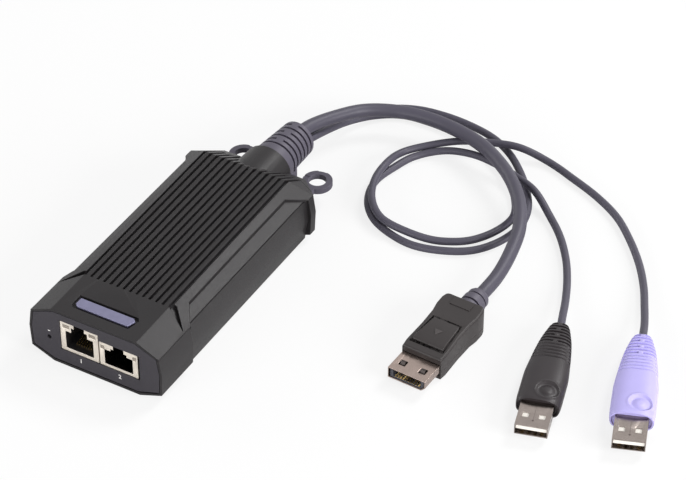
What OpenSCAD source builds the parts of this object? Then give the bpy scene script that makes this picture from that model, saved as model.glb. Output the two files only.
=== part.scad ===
// Adapter module: a finned case with two network jacks in front and three
// tethered leads behind. Millimetres, +Z up, the jacks face -Y.
// The origin is the centre of the case footprint on the surface it rests on.

/* [Case] */
// Length of the case from the front face to the rear edge
case_length = 118; // [114:0.5:124]
// Greatest width of the case, at its waist line
case_width = 57.2; // [56.8:0.1:60]
// Height of the front face
front_height = 25.1; // [24.9:0.1:25.8]
// Height of the fin crests where the top bends down
rear_height = 26.8; // [26.4:0.1:27.6]
// Width of the flat top
top_width = 36.4; // [36:0.1:38]
// Width at the lower edge of the sloping shoulders
shoulder_width = 55; // [54.4:0.1:56]
// Height of that lower edge
shoulder_z = 20.8; // [20.6:0.1:21.2]
// Height of the waist line
waist_z = 13.2; // [12.5:0.1:14]
// Width at the upper edge of the bottom chamfer
foot_width = 56.2; // [55.6:0.1:56.6]
// Height of the bottom chamfer
foot_z = 3.8; // [3:0.1:4.5]
// Width of the flat base at the two ends
base_width = 37.2; // [36:0.2:40]
// Wall of the covers
wall = 2; // [1.8:0.1:2.3]
// Length of the slope behind the bend
slope_run = 14; // [13:0.5:15]
// Height of the rear edge
rear_edge_z = 17.75; // [17.5:0.05:18.2]
// Length of the rear corner chamfers seen from above
corner_run = 9.9; // [9:0.1:11]

/* [Fins] */
// Number of fins across the top
fin_count = 13; // [9:2:13]
// Distance from one fin to the next
fin_pitch = 2.8; // [2.6:0.05:2.8]
// Thickness of a fin
fin_thickness = 1.5; // [1.2:0.1:1.8]
// Depth of the grooves between the fins
fin_depth = 1.7; // [1.2:0.1:1.9]
// Length of the plain face in front of the fins
face_length = 21.7; // [20:0.5:24]

/* [Front] */
// Thickness of the front panel
panel_thickness = 2; // [1.6:0.1:2.4]
// Width of the rim of the covers round the front panel
panel_rim = 1; // [0.8:0.1:1.2]
// Width of a network jack
jack_width = 16.3; // [15.9:0.1:16.5]
// Depth of a network jack
jack_depth = 21.3; // [18:0.1:22]
// Height of the left jack
jack_1_height = 13.4; // [13:0.1:13.8]
// Height of the right jack
jack_2_height = 11; // [10.8:0.1:11.6]
// Width of the plug opening of a jack
plug_width = 11.9; // [11.7:0.1:12.2]
// Depth of the plug opening of a jack
plug_depth = 14; // [13:0.5:15]
// Diameter of the reset hole
reset_hole = 1.8; // [1.4:0.1:2.2]
// Travel of the reset button
reset_travel = 0.3; // [0.2:0.05:0.4]
// Length of the blank name plate
plate_length = 24; // [20:0.5:26]
// Width of the blank name plate
plate_width = 4.6; // [4:0.1:6.5]

/* [Board] */
// Height of the underside of the circuit board
board_z = 5.8; // [5.2:0.1:5.9]
// Thickness of the circuit board
board_thickness = 1.6; // [1.2:0.1:1.6]
// Width of the circuit board
board_width = 47; // [46:0.5:47.5]

/* [Strain relief] */
// Height of the centre of the strain relief at the case
boot_z = 15.4; // [15.2:0.1:15.6]
// Width of the strain relief at the case
boot_width = 17.6; // [17.2:0.2:18.6]
// Height of the strain relief at the case
boot_height = 16.2; // [15.4:0.1:16.4]
// Width of the strain relief at its cable end
boot_end_width = 14.4; // [14.2:0.1:16]
// Height of the strain relief at its cable end
boot_end_height = 16; // [15:0.1:16.2]
// Number of slot rows in the strain relief
slot_rows = 6; // [4:1:6]
// Diameter of the hole in a hanging loop
loop_hole = 7.1; // [6:0.1:7.6]
// Outer diameter of a hanging loop
loop_width = 11.9; // [11:0.1:12.6]
// Thickness of a hanging loop
loop_thickness = 2.45; // [2:0.05:2.8]

/* [Leads] */
// Diameter of the video lead
video_lead = 5.4; // [5:0.1:5.4]
// Diameter of the two thin leads
thin_lead = 3; // [2.6:0.1:3]

/* [Video plug] */
// Length of the housing of the video plug
dp_length = 32; // [30:0.5:34]
// Greatest width of that housing
dp_width = 17.6; // [17.2:0.1:18.4]
// Height of that housing at its rear
dp_height = 12; // [11.8:0.1:12.6]
// Height of that housing at its front
dp_front_height = 9.8; // [9.6:0.1:10.2]
// Width of the metal shell
dp_shell_width = 15.6; // [15:0.1:16]
// Height of the metal shell
dp_shell_height = 4.8; // [4.8:0.1:5]
// Length of the shell in front of the housing
dp_shell_reach = 10.4; // [9.5:0.1:12]
// Length of the latch button
dp_button_length = 14; // [12:0.5:14]

/* [Data plugs] */
// Length of a grip
grip_length = 45.2; // [43:0.2:48]
// Greatest width of a grip
grip_width = 16.4; // [15.6:0.1:17]
// Greatest height of a grip
grip_height = 9; // [8.6:0.1:9.2]
// Width of a data plug shell
usb_width = 12; // [11.8:0.1:12.2]
// Height of a data plug shell
usb_height = 4.5; // [4.4:0.1:4.7]
// Length of a data plug shell in front of its grip
usb_reach = 12.3; // [11.5:0.1:13]
// Number of ribs on a grip
rib_count = 12; // [5:1:12]

/* [Hidden] */
$fn = 40;

// Overrun of a cut past the solid that it cuts
over = 1;
// Gap between two pieces that fit one in the other
fit_gap = 0.15;
// Gap between the two covers along their parting line
seam = 0.2;
// Thickness of the thin slices that the hulls join
slice = 0.4;

// Case
front_y = -case_length/2;
rear_y = case_length/2;
bend_y = rear_y - slope_run;
corner_y = rear_y - corner_run;
// Where the rear band of the sides begins, behind the bend
band_lag = 0.5;
band_y = bend_y + band_lag;
// How far the shoulder, waist and foot of the middle lie inside those of the ends
shoulder_inset = 1;
waist_inset = 1.6;
foot_inset = 2.9;
// How far they lie below them
shoulder_drop = 0.6;
waist_drop = 3;
// Chamfer under the middle
edge_break = 0.5;
mid_shoulder = [shoulder_width/2 - shoulder_inset, shoulder_z - shoulder_drop];
mid_waist = [case_width/2 - waist_inset, waist_z - waist_drop];
mid_foot = [foot_width/2 - foot_inset, edge_break];
// Height of the plane that parts the covers, below the shoulder edge
split_drop = 0.4;
split_z = shoulder_z - split_drop;
// Thickness of the roof under the plain face
roof = 3.4;
roof_z = front_height - roof;
roof_half = top_width/2 - wall;
// How much thicker the shoulders are than the other walls, measured downwards
shoulder_wall = 1.8;

// Ends of the plain face on the shoulders and sides
facet_notch = 4.8;
side_notch = 0.7;
notch_inset = 0.4;
face_end_y = front_y + face_length;
side_end_y = face_end_y - side_notch;
wedge_width = 2.4;
wedge_reach = 1.8;
wedge_depth = 1.6;

// Sunk stretch of each shoulder: how far from the flat top it starts, and how far its ends slant
sunk_reach = 3.8;
sunk_slant = 8;
sunk_x = top_width/2 + sunk_reach;

// Name plate
plate_place_share = 0.37;
plate_recess = 0.9;
plate_rim = 1.1;
plate_proud = 0.15;
plate_slant = 1.2;

// Jacks
// How much wider the gap under the front panel is than the gap round it
panel_foot_gap = 0.45;
jack_split_x = 1.6;
jack_gap = 0.5;
jack_setback = 0.3;
jack_side_gap = 1;
jack_sheet = 0.3;
jack_sill = 1.4;
jack_corner_width = 4.7;
jack_lip_reach = 1.2;
jack_lip_height = 1.9;
jack_1_corner_height = 4.1;
jack_2_corner_height = 3;
jack_1_lamp = [2.8, 1.6];
jack_2_lamp = [1.6, 1.6];
// Places of the lamp windows from the side and the top of each jack
jack_1_lamp_inset = [1.1, 1.2];
jack_2_lamp_inset = [0.5, 1.5];
lamp_depth = 12;
lintel = 0.5;
contact_count = 8;
contact_pitch = 1.02;
contact_width = 0.45;
contact_thick = 0.3;
contact_front = 3.2;
contact_back = 12.4;
contact_low = 0.1;
contact_rise = 2;

// Board
board_top = board_z + board_thickness;
board_front_gap = 0.4;
board_rear_gap = 1;
board_front_y = front_y + panel_thickness + board_front_gap;
board_rear_y = bend_y - board_rear_gap;
jack_z = board_top;
jack_front_y = front_y + jack_setback;
jack_rear_y = jack_front_y + jack_depth;
screw_side = 3.5;
board_screw_x = board_width/2 - screw_side;
board_screw_front = 26;
board_screw_rear = 14;
board_screws_y = [board_front_y + board_screw_front, board_rear_y - board_screw_rear];
board_screw_r = 1.1;
board_head_r = 2.2;
board_head_h = 1.5;
board_boss_r = 3;
board_hole_r = 1.35;
thread_gap = 0.05;
cover_screw_r = 1.25;
cover_head_r = 2.4;
cover_head_h = 1.6;
cover_head_depth = 2.4;
post_r = 2.7;
post_inset = 1.5;
post_x = board_width/2 - post_inset;
post_front = 12.5;
post_rear = 5;
posts_y = [board_front_y + post_front, board_rear_y - post_rear];
post_meet_z = board_top + cover_head_depth;
post_bite = 6;
// How far the posts go up past the lower edge of the shoulders, into the roof
post_root = 1.2;
notch_gap = 0.5;

// Parts on the board: width, length and height, and the place of the centre
chip_gap = 0.9;
processor_size = [21, 21, 1.4];
processor_place = [-2, -9];
pad_size = [19, 19, 1.2];
sink_size = [27, 27, 8.2];
sink_base = 2.4;
sink_fins = 7;
sink_fin_width = 1.6;
memory_size = [8, 12, 1.1];
memory_inset = 5.1;
memory_place = [board_width/2 - memory_inset, -9];
memory_pitch = 14;
magnetics_size = [15, 9, 5.6];
magnetics_place = [8.5, -28.5];
network_chip_size = [8, 8, 0.9];
network_chip_place = [-10, -29];
usb_chip_size = [7, 7, 0.9];
usb_chip_place = [-14.8, 17];
inductor_size = [7, 7, 3.4];
inductor_place = [14, 20];
capacitor_r = 2.5;
capacitor_h = 6;
capacitor_place = [-2, 17];
capacitor_pitch = 6;
capacitor_count = 3;
crystal_size = [3.4, 2.6, 0.9];
crystal_inset = 4;
crystal_place = [-board_width/2 + crystal_inset, 2];
dp_header_size = [13, 5, 4.6];
header_inset = 18;
dp_header_y = board_rear_y - header_inset;
usb_header_size = [7, 4.4, 4];
usb_header_x = 14;

// Reset switch
reset_inset = 3.6;
reset_x = -board_width/2 + reset_inset;
reset_z = 11.1;
switch_size = [6.2, 4.6, 7];
switch_gap = 1.9;
plunger_r = 1.6;
plunger_nose = 1.2;
plunger_tail = 2;
running_gap = 0.05;
switch_front_y = front_y + panel_thickness + switch_gap;

// Strain relief
// How far the hood reaches past the rear edge
hood_reach = 2.8;
hood_wall = 1.2;
hood_flare = 0.7;
hood_y = rear_y + hood_reach;
boot_length = 22.2;
boot_end_y = hood_y + boot_length;
// How far the cable end droops
boot_droop = 1.4;
boot_end_z = boot_z - boot_droop;
flange_length = 2.4;
flange_lift = 0.4;
flange_extra = 3;
flange_trim = 0.2;
flange_y = bend_y - flange_length - fit_gap;
slot_width = 1;
slot_depth = 1;
slot_lead = 5;
slot_pitch = 2.9;
slot_bridge = 1.4;
// How far the long and the split rows of slots reach down, as shares of half the height
long_slot_share = 0.45;
split_slot_share = 0.8;
boot_sides = 32;
loop_x = 16.8;
loop_reach = 11.3;
loop_y = rear_y + loop_reach;
loop_top_z = 9.2;
loop_z = loop_top_z - loop_thickness;
web_length = 4.6;
web_gap = 0.1;
stem_width = 6;
stem_shift = 1.2;
// Foot between the relief and its web: its width as a share of the relief, and its length
pedestal_share = 0.94;
pedestal_length = 10.4;
tongue_half = boot_width/2 + hood_wall + hood_flare;

// Leads: the points of each route are chosen by hand and rounded
video_route = [[0, 84, 15.9], [1, 93, 14.9], [5, 104.5, 13.1], [11.5, 116, 11.2],
    [22.5, 123.5, 10], [35.5, 126, 9.8], [48.5, 125, 9.8], [61.5, 121.5, 9.8],
    [73.5, 114.5, 9.8], [83.5, 106, 9.8], [92, 95.5, 9.4], [98, 83.5, 8.4],
    [101, 70.5, 7], [102.5, 57, 6.2], [102.1, 44, 6]];
purple_route = [[1.6, 84, 11.6], [2.4, 91.5, 10.4], [3.6, 103, 7.6], [5.5, 114.5, 4.4],
    [11, 125.5, 2.1], [20, 132, 1.5], [32, 133.5, 1.5], [44, 132.5, 1.5], [55.5, 129.5, 1.5],
    [66.5, 124, 1.5], [76, 116.5, 1.5], [84, 107.5, 1.5], [89, 96.5, 1.5], [87, 85, 1.5],
    [80.5, 75, 1.5], [70, 69, 1.6], [58.5, 66.2, 3.4], [47, 67.3, 4.7], [38.5, 75, 5.1],
    [33.5, 86, 5.1], [32.2, 98, 4.9], [33, 109.5, 2.8], [40.3, 118.3, 3.2], [50.5, 124.5, 5],
    [61.5, 129.8, 5], [73, 133, 4.8], [85.5, 134, 1.8], [99, 129.3, 1.5], [112, 123.7, 1.5],
    [124, 116.3, 1.5], [134.5, 106, 1.5], [143.5, 95, 1.5], [150.5, 84, 1.6],
    [156, 73, 2.2], [160.4, 63.5, 3.2], [163.8, 54.5, 4.5]];
black_route = [[-1.6, 84, 11.6], [-1, 92.5, 10.2], [0.2, 103.5, 7.4], [2.2, 114.5, 4.8],
    [5.5, 125, 2.4], [13.5, 133.5, 1.5], [24, 138.8, 1.5], [36, 140.5, 1.5],
    [48, 139.8, 1.5], [59.5, 137, 1.5], [69.5, 131.3, 1.5], [78, 123.5, 1.5],
    [85.5, 114.5, 1.5], [91.5, 104.5, 1.5], [94, 93, 1.5], [91.5, 81, 1.5], [85, 71, 1.5],
    [75, 65, 1.5], [63.5, 62.2, 1.5], [52, 64.2, 1.5], [42, 69.3, 1.5], [35, 78, 1.5],
    [32, 89.3, 1.5], [34, 100.5, 1.5], [38.2, 111.6, 1.5], [47.3, 118.8, 2.8], [59, 119.8, 4.8],
    [70, 118.6, 5], [81, 115.2, 5.1], [91, 111, 4.9], [101, 104, 1.8], [110, 95, 1.5],
    [118, 84, 1.5], [124, 73, 1.6], [129, 61.5, 2.4], [132.5, 52, 3.6], [135, 45.2, 4.5]];
video_start = video_route[0];
thin_start = purple_route[0];
video_end = video_route[len(video_route) - 1];
purple_end = purple_route[len(purple_route) - 1];
black_end = black_route[len(black_route) - 1];
video_sides = 12;
thin_sides = 8;

// Video plug, measured from the end of its lead
dp_turn = -2.5;
dp_boot_length = 10;
dp_boot_r = 4.3;
dp_boot_ring_r = 4.6;
dp_boot_neck_r = 3.7;
dp_rear = -dp_boot_length;
dp_front = dp_rear - dp_length;
dp_wall = 1.6;
dp_split_z = 3.8;
dp_plan_shares = [[0, 0.8], [0.04, 0.94], [0.1, 1], [0.22, 1], [0.34, 0.93], [0.6, 0.92],
    [0.9, 0.97], [1, 0.93]];
dp_shell_z = 2.1;
dp_shell_wall = 0.35;
dp_shell_inside = 10;
dp_shell_front = dp_front - dp_shell_reach;
dp_shell_rear = dp_front + dp_shell_inside;
dp_button_margin = 4.2;
dp_button_front = dp_front + dp_button_margin;
dp_button_rear = dp_button_front + dp_button_length;
dp_button_half = 6.5;
dp_button_half_rear = 5.5;
dp_button_thick = 2;
dp_button_proud = 1.2;
dp_button_gap = 0.5;
dp_hinge_gap = 0.3;
dp_cavity_z = 7.6;
dp_cavity_half = 6.4;
dp_cavity_front = 2;
dp_cavity_rear = 5;
nub_half = 2;
nub_length = 2;
nub_back = 0.9;
nub_clear = 0.3;
hook_plate_z = 5.5;
hook_thick = 0.45;
hook_x = 4.2;
hook_width = 1.8;
hook_tip_back = 4.8;
hook_tip_length = 1.8;
hook_proud = 0.5;
hook_slot_gap = 0.5;
hook_join = 6;
ledge_length = 3;
ledge_half = 4;
liner_half = 7;
liner_floor = 0.75;
liner_block_height = 1.85;
liner_side = 1.2;
liner_side_gap = 0.1;
liner_setback = 0.5;
liner_block = 8;
pin_count = 10;
pin_pitch = 1.1;
pin_width = 0.6;
pin_thick = 0.12;
paddle_size = [10, 4.5, 0.8];

// Data plugs, measured from the end of their leads
black_turn = 16;
purple_turn = 20.3;
grip_z = grip_height/2;
grip_front = -grip_length;
grip_sides = 20;
grip_square_share = 0.78;
grip_width_shares = [[0, 0.3], [0.02, 0.44], [0.08, 0.49], [0.24, 0.74], [0.46, 0.885],
    [0.68, 1], [0.96, 1], [1, 0.97]];
grip_height_shares = [[0, 0.48], [0.02, 0.62], [0.08, 0.7], [0.24, 0.84], [0.46, 0.93],
    [0.68, 1], [0.96, 1], [1, 0.94]];
rib_start_share = 0.04;
rib_end_share = 0.46;
rib_low_share = 0.94;
dimple_r = 12;
dimple_depth = 0.6;
dimple_share = 0.845;
dimple_x = 2.4;
usb_sheet = 0.35;
usb_inside = 6;
usb_z = grip_z - usb_height/2;
usb_front = grip_front - usb_reach;
usb_window = 2.3;
usb_window_x = 3;
usb_window_back = 4.6;
tongue_height = 1.9;
tongue_setback = 0.5;
tongue_gap = 0.1;
usb_pins = 4;
usb_pin_pitch = 2.3;
usb_pin_width = 1;
usb_pin_thick = 0.12;
usb_pin_length = 9;

// Colours
case_colour = "#333336";
grey_colour = "#69657a";
purple_colour = "#c4baf5";
black_colour = "#2c292b";
metal_colour = "#b9aca6";
cream_colour = "#e6dcd2";
gold_colour = "#d8b25a";
board_colour = "#2b5a3a";
chip_colour = "#1c1c20";
plate_colour = "#b4b2cf";
insert_colour = "#55555f";
tongue_colour = "#e9e7e4";

// A half outline and its mirror image
function both(half) = concat(half, [for (i = [len(half) - 1:-1:0]) [-half[i].x, half[i].y]]);

function end_profile(top) = both([[top_width/2, top], [shoulder_width/2, shoulder_z],
    [case_width/2, waist_z], [foot_width/2, foot_z], [base_width/2, 0]]);

function mid_profile(top) = both([[top_width/2, top - fin_depth], mid_shoulder, mid_waist,
    mid_foot, [mid_foot.x - edge_break, 0]]);

// The outline of the front panel, inside the ends by a given distance, and more below
function panel_profile(inset, lower = 0) = both([[top_width/2 - inset/2, front_height - inset],
    [shoulder_width/2 - inset, shoulder_z - inset/2], [case_width/2 - inset, waist_z],
    [foot_width/2 - inset, foot_z + inset/2 + lower], [base_width/2 - inset/2, inset + lower]]);

// Height of the top at a place along the case
function top_z(y) = y < bend_y
    ? front_height + (rear_height - front_height)*(y - front_y)/(bend_y - front_y)
    : rear_height + (rear_edge_z - rear_height)*(y - bend_y)/slope_run;

// Points of an oval across the Y axis
function oval(width, height, y, z, sides, square = 1) = [for (i = [0:sides - 1])
    let (c = cos(360*i/sides), s = sin(360*i/sides))
    [width/2*sign(c)*pow(abs(c), square), y, z + height/2*sign(s)*pow(abs(s), square)]];

// Runs an outline in X and Z along Y
module along_y(y0, y1) translate([0, y1, 0]) rotate([90, 0, 0]) linear_extrude(y1 - y0) children();

// Runs an outline in Y and Z along X
module along_x(x0, x1) translate([x0, 0, 0]) rotate([90, 0, 90]) linear_extrude(x1 - x0) children();

// A round bar along Y
module bar_y(r, y0, y1, x, z) translate([x, y1, z]) rotate([90, 0, 0]) cylinder(r = r, h = y1 - y0);

// A block from its low corner to its high corner
module block(low, high) translate(low) cube(high - low);

// A closed skin over rings of equally many points
module loft(rings) {
    n = len(rings[0]);
    m = len(rings);
    polyhedron(
        points = [for (ring = rings) each ring],
        faces = concat(
            [[for (i = [n - 1:-1:0]) i]],
            [for (k = [0:m - 2], i = [0:n - 1]) let (j = (i + 1) % n, a = k*n, b = a + n)
                each [[a + i, a + j, b + i], [a + j, b + j, b + i]]],
            [[for (i = [0:n - 1]) (m - 1)*n + i]]));
}

// Unit direction of a route at a point
function heading(route, i) =
    let (a = route[max(i - 1, 0)], b = route[min(i + 1, len(route) - 1)]) (b - a)/norm(b - a);

// A ring of points round a point of a route, square to it
function ring_at(route, i, r, sides, t) =
    let (side = cross(t, [0, 0, 1])/norm(cross(t, [0, 0, 1])),
        up = cross(side, t))
    [for (k = [0:sides - 1]) let (a = 360*(k + 0.5)/sides)
        route[i] + r*cos(a)*side + r*sin(a)*up];

// A lead: one tube along its route, with end faces square to what they meet
module lead(route, d, sides, colour, last = [0, 1, 0]) color(colour)
    loft([for (i = [0:len(route) - 1]) ring_at(route, i, d/2, sides,
        i == 0 ? [0, 1, 0] : i == len(route) - 1 ? last : heading(route, i))]);

// The whole outside of the case
module end_body() hull() {
    along_y(front_y, front_y + slice) polygon(end_profile(front_height));
    along_y(bend_y - slice, bend_y) polygon(end_profile(rear_height));
    along_y(corner_y - slice, corner_y) polygon(both([[top_width/2, shoulder_z],
        [shoulder_width/2, shoulder_z], [case_width/2, waist_z], [foot_width/2, foot_z],
        [base_width/2, 0]]));
    along_y(rear_y - slice, rear_y) polygon(both([[top_width/2, rear_edge_z],
        [top_width/2, foot_z], [top_width/2 - foot_z, 0]]));
}

module mid_body() hull() {
    along_y(face_end_y - face_length/2, face_end_y) polygon(mid_profile(top_z(face_end_y)));
    along_y(band_y, band_y + over) polygon(mid_profile(rear_height));
}

// The stretch of the top between the ends that is as high as they are, seen from above
module proud_plan() polygon(both([[shoulder_width/2, side_end_y - over],
    [shoulder_width/2, side_end_y], [sunk_x, side_end_y + sunk_slant],
    [sunk_x, band_y - sunk_slant], [shoulder_width/2, band_y],
    [shoulder_width/2, band_y + over]]));

module outer_body() {
    intersection() {
        end_body();
        union() {
            block([-case_width, front_y - over, -over],
                [case_width, side_end_y, rear_height + over]);
            block([-case_width, band_y, -over], [case_width, rear_y + over, rear_height + over]);
            translate([0, 0, mid_shoulder.y]) linear_extrude(rear_height) proud_plan();
        }
    }
    mid_body();
}

// One groove more than the gaps between the fins, as each outer fin has one beside it too
module fin_grooves() for (i = [0:fin_count]) {
    x = (i - fin_count/2)*fin_pitch;
    half = (fin_pitch - fin_thickness)/2;
    along_x(x - half, x + half) polygon([[face_end_y, top_z(face_end_y) - fin_depth],
        [bend_y, rear_height - fin_depth], [rear_y + over, top_z(rear_y + over) - fin_depth],
        [rear_y + over, rear_height + over], [face_end_y, rear_height + over]]);
}

// Dark wedges behind the sloping ends of the plain face
module wedge_grooves() for (s = [-1, 1]) intersection() {
    scale([s, 1, 1]) linear_extrude(2*rear_height)
        polygon([[top_width/2 - wedge_width/4, face_end_y],
            [top_width/2, face_end_y], [shoulder_width/2 - notch_inset, face_end_y - facet_notch],
            [top_width/2 + wedge_reach, face_end_y + wedge_width],
            [top_width/2 - wedge_width/4, face_end_y + wedge_width]]);
    translate([0, 0, -wedge_depth]) difference() {
        block([-case_width, front_y, 0], [case_width, band_y, 2*rear_height]);
        end_body();
    }
}

// Space inside the two covers
module cavity() {
    along_y(front_y + panel_thickness, bend_y) polygon(both([[roof_half, roof_z],
        [mid_shoulder.x - wall, mid_shoulder.y - shoulder_wall],
        [mid_waist.x - wall, mid_waist.y], [mid_foot.x - wall, wall]]));
    along_y(front_y - over, front_y + panel_thickness + fit_gap)
        polygon(panel_profile(panel_rim));
    for (s = [-1, 1]) scale([s, 1, 1]) translate([0, 0, wall]) linear_extrude(foot_z + foot_z)
        polygon([[tongue_half + wall, bend_y - over], [mid_foot.x - wall, bend_y - over],
            [mid_foot.x - wall, corner_y - wall], [top_width/2 - wall, rear_y - 2*wall],
            [tongue_half + wall, rear_y - 2*wall]]);
}

// Room for the neck of the strain relief, with its gap
module boot_passage() loft([oval(boot_width + 2*fit_gap, boot_height + 2*fit_gap,
    bend_y - over, boot_z, boot_sides), oval(boot_width + 2*fit_gap, boot_height + 2*fit_gap,
    hood_y + over, boot_z, boot_sides)]);

// The hood over the neck of the strain relief
module hood() intersection() {
    loft([oval(boot_width + 2*(hood_wall + hood_flare), boot_height + 2*(hood_wall + hood_flare),
            bend_y, boot_z, boot_sides),
        oval(boot_width + 2*hood_wall, boot_height + 2*hood_wall, hood_y, boot_z, boot_sides)]);
    block([-case_width/2, bend_y, boot_z], [case_width/2, hood_y, rear_height]);
}

// The side of the top cover: all above the parting plane, and the tongue over the neck
module upper_side(gap) {
    block([-case_width, front_y - over, split_z - gap], [case_width, hood_y, 2*rear_height]);
    block([-tongue_half - gap, bend_y - gap, boot_z - gap], [tongue_half + gap, hood_y, split_z]);
}

module plate_outline(grow) {
    y = front_y + face_length*plate_place_share;
    x = plate_length/2 + grow;
    d = plate_width/2 + grow;
    polygon([[-x, y + d], [x - plate_slant, y + d], [x, y + d - plate_slant],
        [x - plate_slant, y - d], [-x + plate_slant, y - d], [-x, y - d + plate_slant]]);
}

// Height of the floor of the recess for the name plate
plate_floor_z = front_height - plate_recess;

module post_places() for (x = [-post_x, post_x], y = posts_y) translate([x, y, 0]) children();
module board_screw_places() for (x = [-board_screw_x, board_screw_x], y = board_screws_y)
    translate([x, y, 0]) children();

module top_cover() color(case_colour) difference() {
    union() {
        difference() {
            intersection() {
                outer_body();
                upper_side(0);
            }
            cavity();
            fin_grooves();
            wedge_grooves();
        }
        hood();
        intersection() {
            outer_body();
            post_places() translate([0, 0, post_meet_z])
                cylinder(r = post_r, h = shoulder_z - post_meet_z + post_root);
        }
    }
    boot_passage();
    translate([0, 0, plate_floor_z]) linear_extrude(rear_height) plate_outline(plate_rim);
    post_places() translate([0, 0, post_meet_z - over])
        cylinder(r = cover_screw_r + thread_gap, h = post_bite + 2*over);
}

module bottom_cover() color(case_colour) difference() {
    union() {
        difference() {
            outer_body();
            upper_side(seam);
            cavity();
            post_places() translate([0, 0, post_meet_z])
                cylinder(r = post_r + fit_gap, h = rear_height);
        }
        intersection() {
            post_places() cylinder(r = post_r, h = post_meet_z);
            outer_body();
        }
        board_screw_places() cylinder(r = board_boss_r, h = board_z);
    }
    boot_passage();
    post_places() {
        translate([0, 0, -over]) cylinder(r = cover_head_r + fit_gap, h = cover_head_depth + over);
        translate([0, 0, -over]) cylinder(r = cover_screw_r + fit_gap, h = 2*post_meet_z);
    }
    board_screw_places() translate([0, 0, wall/2])
        cylinder(r = board_screw_r + thread_gap, h = board_z);
}

function jack_x(i) = i == 0 ? jack_split_x - jack_gap/2 - jack_width/2
    : jack_split_x + jack_gap/2 + jack_width/2;
function jack_height(i) = i == 0 ? jack_1_height : jack_2_height;
function jack_corner(i) = i == 0 ? jack_1_corner_height : jack_2_corner_height;
function jack_lamp(i) = i == 0 ? jack_1_lamp : jack_2_lamp;
function lamp_inset(i) = i == 0 ? jack_1_lamp_inset : jack_2_lamp_inset;

// Outline of the plug opening of a jack up to a given height, from the centre of its underside
module jack_window(i, top) {
    h = jack_height(i);
    tab = jack_width/2 - jack_corner_width;
    polygon(both([[tab - jack_lip_reach, top], [tab - jack_lip_reach, h - jack_lip_height],
        [tab, h - jack_lip_height], [tab, h - jack_corner(i)],
        [plug_width/2, h - jack_corner(i)], [plug_width/2, jack_sill]]));
}

module jack_lamps(i, inset) {
    lamp = jack_lamp(i);
    for (s = [-1, 1]) translate([s*(jack_width/2 - lamp_inset(i).x - lamp.x/2),
            jack_height(i) - lamp_inset(i).y - lamp.y/2])
        square([lamp.x - 2*inset, lamp.y - 2*inset], center = true);
}

module at_jack(i) translate([jack_x(i), 0, jack_z]) children();

module front_panel() color(case_colour) difference() {
    along_y(front_y, front_y + panel_thickness)
        polygon(panel_profile(panel_rim + fit_gap, panel_foot_gap));
    for (i = [0, 1]) {
        low = [jack_x(i) - jack_width/2 - (i == 0 ? fit_gap : jack_gap),
            front_y - over, jack_z - fit_gap];
        high = [jack_x(i) + jack_width/2 + (i == 0 ? jack_gap : jack_side_gap),
            front_y + panel_thickness + over, jack_z + jack_height(i) + fit_gap];
        block(low, high);
    }
    bar_y(reset_hole/2, front_y - over, front_y + panel_thickness + over, reset_x, reset_z);
}

module name_plate() color(plate_colour) translate([0, 0, plate_floor_z])
    linear_extrude(plate_recess + plate_proud) plate_outline(0);

module main_board() color(board_colour) difference() {
    block([-board_width/2, board_front_y, board_z], [board_width/2, board_rear_y, board_top]);
    post_places() cylinder(r = post_r + notch_gap, h = rear_height);
    board_screw_places() cylinder(r = board_hole_r, h = rear_height);
}

module board_screws() color(metal_colour) board_screw_places() {
    translate([0, 0, wall]) cylinder(r = board_screw_r, h = board_top - wall);
    translate([0, 0, board_top]) cylinder(r = board_head_r, h = board_head_h);
}

module cover_screws() color(metal_colour) post_places() translate([0, 0, cover_head_depth]) {
    translate([0, 0, -cover_head_h]) cylinder(r = cover_head_r, h = cover_head_h);
    cylinder(r = cover_screw_r, h = post_meet_z - cover_head_depth + post_bite);
}

module jack_shield(i) color(cream_colour) at_jack(i) difference() {
    block([-jack_width/2, jack_front_y, 0], [jack_width/2, jack_rear_y, jack_height(i)]);
    block([-jack_width/2 + jack_sheet, jack_front_y + jack_sheet, jack_sheet],
        [jack_width/2 - jack_sheet, jack_rear_y - jack_sheet, jack_height(i) - jack_sheet]);
    along_y(jack_front_y - over, jack_front_y + 2*jack_sheet)
        jack_window(i, jack_height(i) + over);
    along_y(jack_front_y - over, jack_front_y + 2*jack_sheet) jack_lamps(i, 0);
}

module jack_housing(i) color(chip_colour) at_jack(i) difference() {
    block([-jack_width/2 + jack_sheet, jack_front_y + jack_sheet, jack_sheet],
        [jack_width/2 - jack_sheet, jack_rear_y - jack_sheet, jack_height(i) - jack_sheet]);
    along_y(jack_front_y, jack_front_y + plug_depth) jack_window(i, jack_height(i) - lintel);
    along_y(jack_front_y, jack_front_y + lamp_depth) jack_lamps(i, -running_gap);
}

module jack_contacts(i) color(gold_colour) at_jack(i) for (k = [0:contact_count - 1]) {
    x = (k - (contact_count - 1)/2)*contact_pitch;
    low = jack_sill + contact_low;
    along_x(x - contact_width/2, x + contact_width/2) polygon([
        [jack_front_y + contact_front, low], [jack_front_y + contact_back, low + contact_rise],
        [jack_front_y + contact_back, low + contact_rise + contact_thick],
        [jack_front_y + contact_front, low + contact_thick]]);
}

module jack_light_pipes(i) color("#dfe6da") at_jack(i)
    along_y(jack_front_y, jack_front_y + lamp_depth - running_gap) jack_lamps(i, running_gap);

module reset_switch() color(chip_colour) difference() {
    block([reset_x - switch_size.x/2, switch_front_y, board_top],
        [reset_x + switch_size.x/2, switch_front_y + switch_size.y, board_top + switch_size.z]);
    bar_y(plunger_r + running_gap, switch_front_y - over,
        switch_front_y + plunger_tail + reset_travel + running_gap, reset_x, reset_z);
}

module reset_plunger() color(cream_colour) bar_y(plunger_r, switch_front_y - plunger_nose,
    switch_front_y + plunger_tail, reset_x, reset_z);

// A part that stands on the board
module on_board(size, place, z = board_top) translate([place.x, place.y, z + size.z/2])
    cube(size, center = true);

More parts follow.
